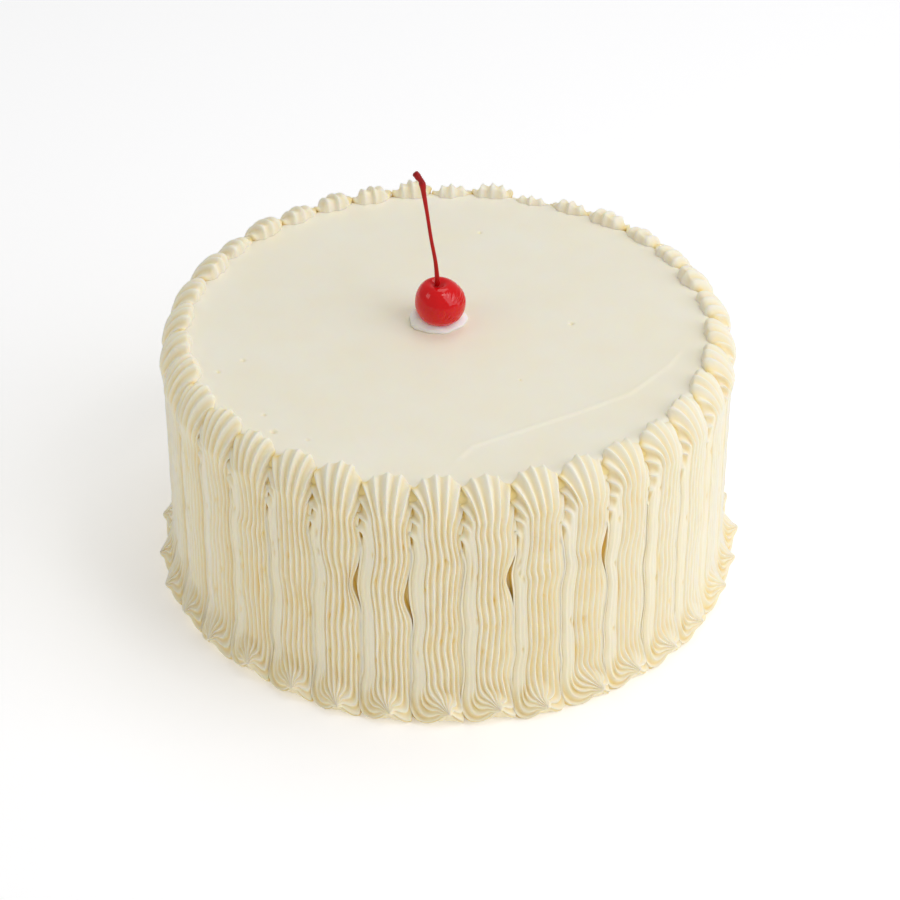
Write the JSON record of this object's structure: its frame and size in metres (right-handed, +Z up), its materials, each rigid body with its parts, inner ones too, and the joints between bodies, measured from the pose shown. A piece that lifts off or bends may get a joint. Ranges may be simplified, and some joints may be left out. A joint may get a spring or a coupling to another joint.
{
  "type": "layer cake",
  "caption": "Round layer cake in ivory buttercream, smooth on top, with upright ridged piped strokes all round its side and one glossy stemmed cherry on a dab of icing.",
  "frame": {"origin": "Centre of the cake's flat underside, on the surface it stands on.", "axes": "+Z is up through the cake's middle; -Y is the side towards the viewer of the picture, +X is that viewer's right."},
  "size_m": [0.2256, 0.2259, 0.1681],
  "materials": {
    "buttercream": "satin",
    "white_icing": "satin",
    "cherry_skin": "gloss",
    "stem": "satin"
  },
  "bodies": {
    "root": {"iced_cake": "buttercream", "stroke_01": "buttercream", "stroke_02": "buttercream", "stroke_03": "buttercream", "stroke_04": "buttercream", "stroke_05": "buttercream", "stroke_06": "buttercream", "stroke_07": "buttercream", "stroke_08": "buttercream", "stroke_09": "buttercream", "stroke_10": "buttercream", "stroke_11": "buttercream", "stroke_12": "buttercream", "stroke_13": "buttercream", "stroke_14": "buttercream", "stroke_15": "buttercream", "stroke_16": "buttercream", "stroke_17": "buttercream", "stroke_18": "buttercream", "stroke_19": "buttercream", "stroke_20": "buttercream", "stroke_21": "buttercream", "stroke_22": "buttercream", "stroke_23": "buttercream", "stroke_24": "buttercream", "stroke_25": "buttercream", "stroke_26": "buttercream", "stroke_27": "buttercream", "stroke_28": "buttercream", "stroke_29": "buttercream", "stroke_30": "buttercream", "stroke_31": "buttercream", "stroke_32": "buttercream", "stroke_33": "buttercream", "stroke_34": "buttercream", "stroke_35": "buttercream", "stroke_36": "buttercream", "icing_dab": "white_icing", "cherry": "cherry_skin", "cherry_stem": "stem"}
  },
  "joints": []
}
